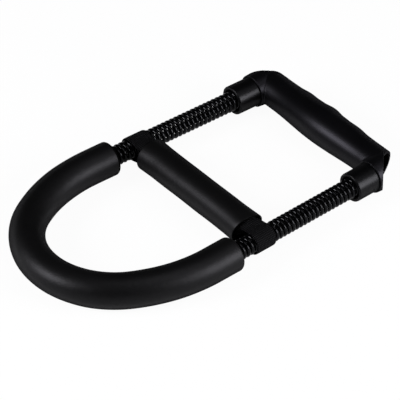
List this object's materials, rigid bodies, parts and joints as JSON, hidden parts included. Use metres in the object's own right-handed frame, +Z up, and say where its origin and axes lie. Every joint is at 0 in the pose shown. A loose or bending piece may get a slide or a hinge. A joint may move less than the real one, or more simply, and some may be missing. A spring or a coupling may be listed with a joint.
{
  "type": "wrist trainer",
  "caption": "U-shaped wrist trainer: a foam-covered bow round the forearm, a sliding forearm pad, and a moulded hand grip held on coil springs that bend as the wrist turns.",
  "frame": {"origin": "on the floor, under the middle of the trainer", "axes": "+X along the hand grip, +Y from the foam bow to the hand grip, +Z up from the floor it lies on"},
  "size_m": [0.1908, 0.326, 0.0329],
  "materials": {
    "black_nbr_foam": "matt closed-cell foam with a faint sheen",
    "black_lacquered_spring_steel": "glossy black lacquer",
    "black_painted_tube": "satin black paint",
    "zinc_plated_steel": "bright zinc plating",
    "black_polypropylene_webbing": "ribbed woven webbing",
    "black_moulded_grip": "satin, soft to the hand",
    "black_nylon_collar": "smooth, semi-gloss",
    "grey_core_tube": "plain"
  },
  "bodies": {
    "frame": {"bow_tube": "black_painted_tube", "bow_foam": "black_nbr_foam", "spring_left": "black_lacquered_spring_steel", "spring_right": "black_lacquered_spring_steel", "spring_stop_left": "zinc_plated_steel", "spring_stop_right": "zinc_plated_steel", "tube_cap_left": "grey_core_tube", "tube_cap_right": "grey_core_tube"},
    "strap": {"webbing_loop": "black_polypropylene_webbing"},
    "pad": {"pad_foam": "black_nbr_foam", "pad_core_tube": "grey_core_tube"},
    "handle": {"grip": "black_moulded_grip", "grip_core_tube": "black_painted_tube", "collar_left": "black_nylon_collar", "collar_right": "black_nylon_collar", "spring_plug_left": "zinc_plated_steel", "spring_plug_right": "zinc_plated_steel", "plug_washer_left": "zinc_plated_steel", "plug_washer_right": "zinc_plated_steel", "plug_screw_left": "zinc_plated_steel", "plug_screw_right": "zinc_plated_steel"}
  },
  "joints": [
    {"name": "handle_bend", "type": "hinge", "parent": "frame", "child": "handle", "pos_m": [0, 0.07958, 0.0145], "axis": [1, 0, 0], "range_deg": [-60, 60], "stiffness_Nm_per_rad": 1.8, "deforming": ["spring_left", "spring_right"]},
    {"name": "pad_slide", "type": "slide", "parent": "frame", "child": "strap", "axis": [0, 1, 0], "range_m": [-0.015, 0.03]},
    {"name": "pad_roll", "type": "hinge", "parent": "strap", "child": "pad", "pos_m": [0, 0.00941, 0.0151], "axis": [1, 0, 0], "continuous": true}
  ]
}
